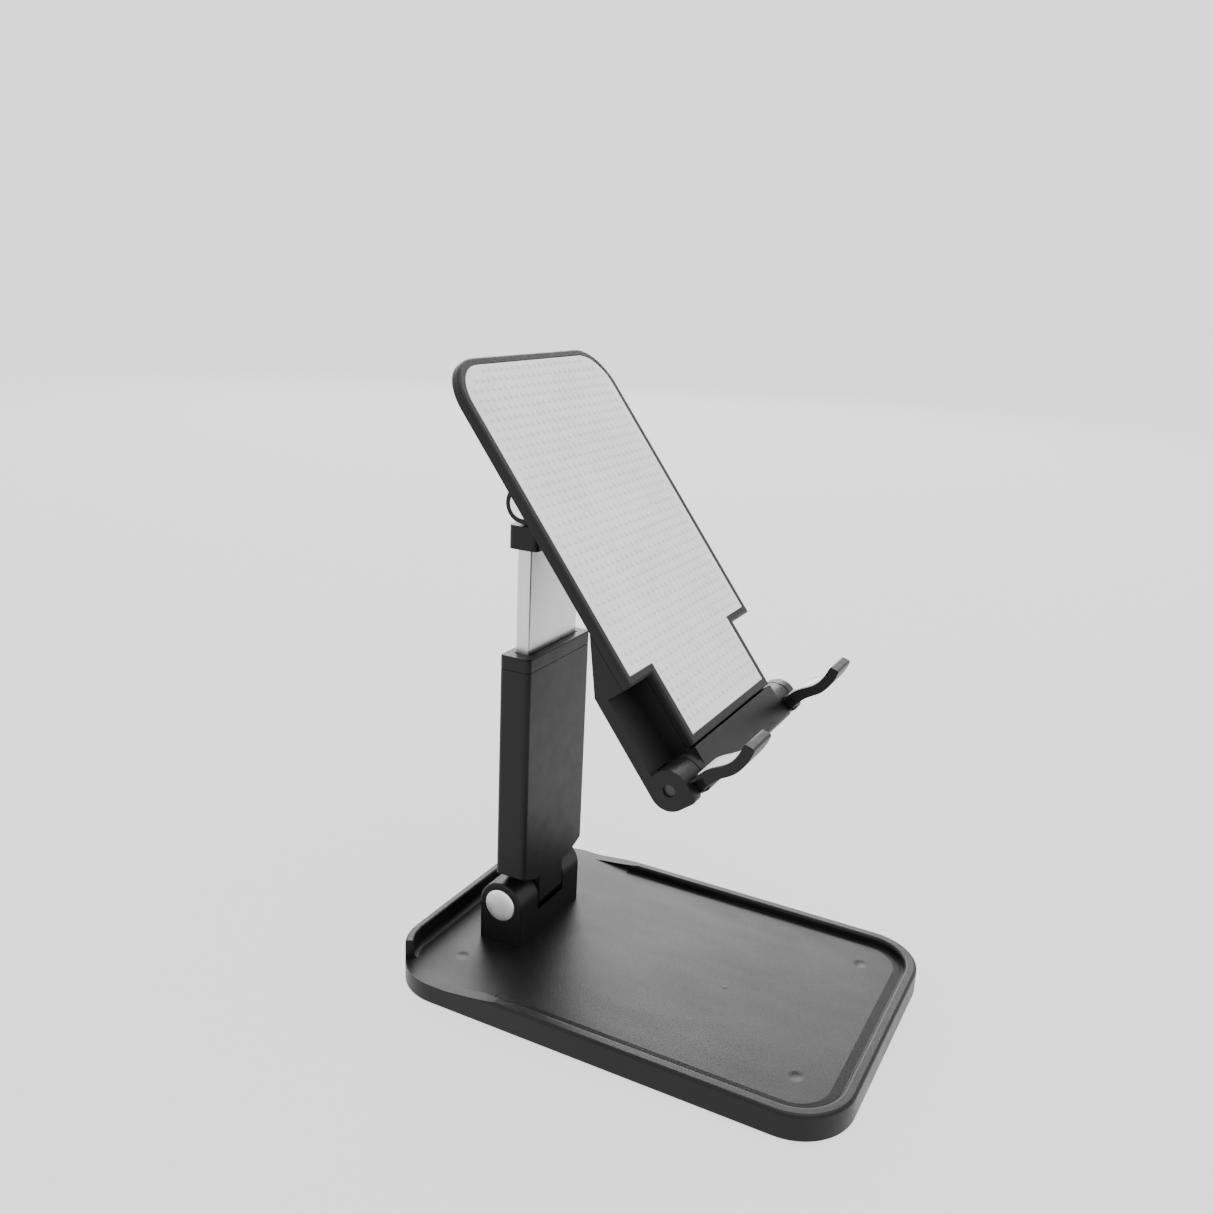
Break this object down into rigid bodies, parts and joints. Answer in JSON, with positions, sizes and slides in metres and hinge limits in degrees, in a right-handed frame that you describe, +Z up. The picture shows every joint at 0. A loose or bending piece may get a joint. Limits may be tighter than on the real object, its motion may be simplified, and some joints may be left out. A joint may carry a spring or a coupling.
{
  "type": "phone stand",
  "caption": "Folding desk phone stand: weighted tray base, telescopic arm on a hinge, and a tilting padded head with fold-in hooks that hold the phone's lower edge.",
  "frame": {"origin": "middle of the base's footprint, on the surface it rests on", "axes": "+Z up; +X along every hinge pin, the stand's right as seen from the front; -Y towards the front, where the tray lies; +Y towards the hinge end"},
  "size_m": [0.068, 0.1, 0.132],
  "materials": {
    "black_plastic": "fine matte texture",
    "rubber_black": "matte",
    "white_silicone": "soft satin with a fine dot texture",
    "grey_silicone": "soft satin",
    "satin_metal": "satin",
    "brushed_bar": "brushed along its length",
    "steel": "plain",
    "acetal": "smooth",
    "black_steel": "plain"
  },
  "bodies": {
    "base": {"base_tray": "black_plastic", "bottom_cover": "black_plastic", "counterweight": "steel", "foot_pad": "rubber_black", "cover_screws": "steel", "base_hinge_pin": "steel", "base_hinge_nut": "steel", "base_hinge_cap_left": "satin_metal", "base_hinge_cap_right": "satin_metal", "base_hinge_washers": "acetal"},
    "arm": {"arm_tube": "black_plastic", "arm_collar": "black_plastic"},
    "slider": {"slider_bar": "brushed_bar", "slider_shoe": "acetal", "brake_spring": "steel", "slider_head": "black_plastic", "slider_screws": "black_steel"},
    "head": {"head_back": "black_plastic", "head_front": "black_plastic", "head_pad": "white_silicone", "head_screws": "black_steel", "head_hinge_pin": "steel", "head_hinge_cap_left": "satin_metal", "head_hinge_cap_right": "satin_metal", "head_hinge_washers": "acetal", "hook_pin_left": "black_steel", "hook_pin_right": "black_steel"},
    "hook_left": {"hook_left": "black_plastic", "hook_pad_left": "grey_silicone"},
    "hook_right": {"hook_right": "black_plastic", "hook_pad_right": "grey_silicone"}
  },
  "joints": [
    {"name": "arm_fold", "type": "hinge", "parent": "base", "child": "arm", "pos_m": [0, 0.0341, 0.014], "axis": [1, 0, 0], "range_deg": [-10, 45]},
    {"name": "arm_extend", "type": "slide", "parent": "arm", "child": "slider", "axis": [0, 0, 1], "range_m": [-0.022, 0.006]},
    {"name": "head_tilt", "type": "hinge", "parent": "slider", "child": "head", "pos_m": [0, 0.032, 0.1036], "axis": [1, 0, 0], "range_deg": [-50, 36]},
    {"name": "hook_left_fold", "type": "hinge", "parent": "head", "child": "hook_left", "pos_m": [-0.0242, -0.01125, 0.05985], "axis": [-1, 0, 0], "range_deg": [0, 90]},
    {"name": "hook_right_fold", "type": "hinge", "parent": "head", "child": "hook_right", "pos_m": [0.0242, -0.01125, 0.05985], "axis": [-1, 0, 0], "range_deg": [0, 90]}
  ]
}
